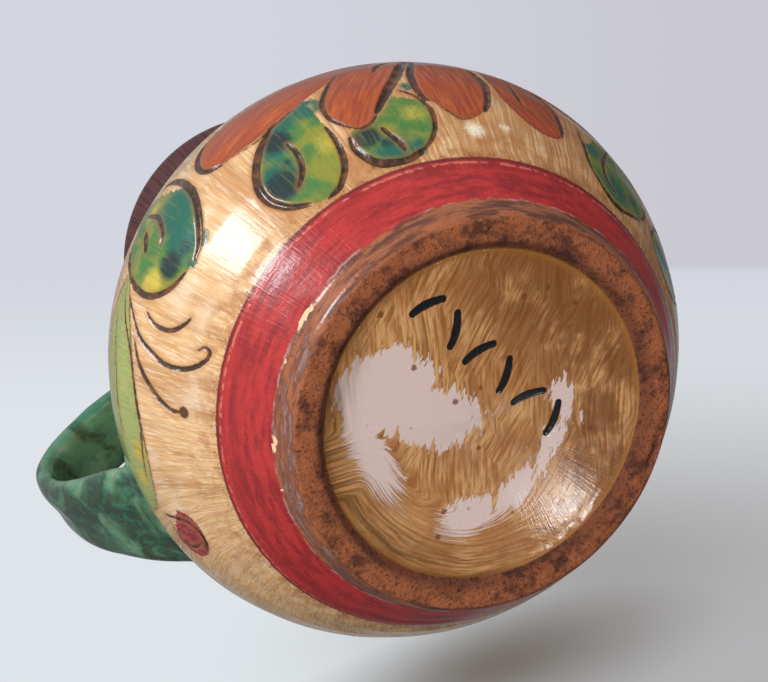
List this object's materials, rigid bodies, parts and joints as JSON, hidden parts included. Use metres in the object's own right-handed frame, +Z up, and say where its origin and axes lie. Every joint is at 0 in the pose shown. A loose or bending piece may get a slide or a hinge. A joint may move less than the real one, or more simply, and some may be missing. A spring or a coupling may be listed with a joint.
{
  "type": "ceramic jug",
  "caption": "Glazed pottery jug with a round belly on a foot ring, a flaring neck with a pulled lip, a strap handle and a flower and leaves cut into the clay.",
  "frame": {"origin": "middle of the jug's box, at the height of the flat face of its foot ring", "axes": "+Z up along the turned axis, +X towards the pulled lip, handle towards -X"},
  "size_m": [0.1477, 0.1248, 0.1718],
  "materials": {
    "glaze": "glossy brushed honey and cream glaze over cut lines, with a crimson band above a bare red-brown foot ring"
  },
  "bodies": {
    "root": {"jug": "glaze"}
  },
  "joints": []
}
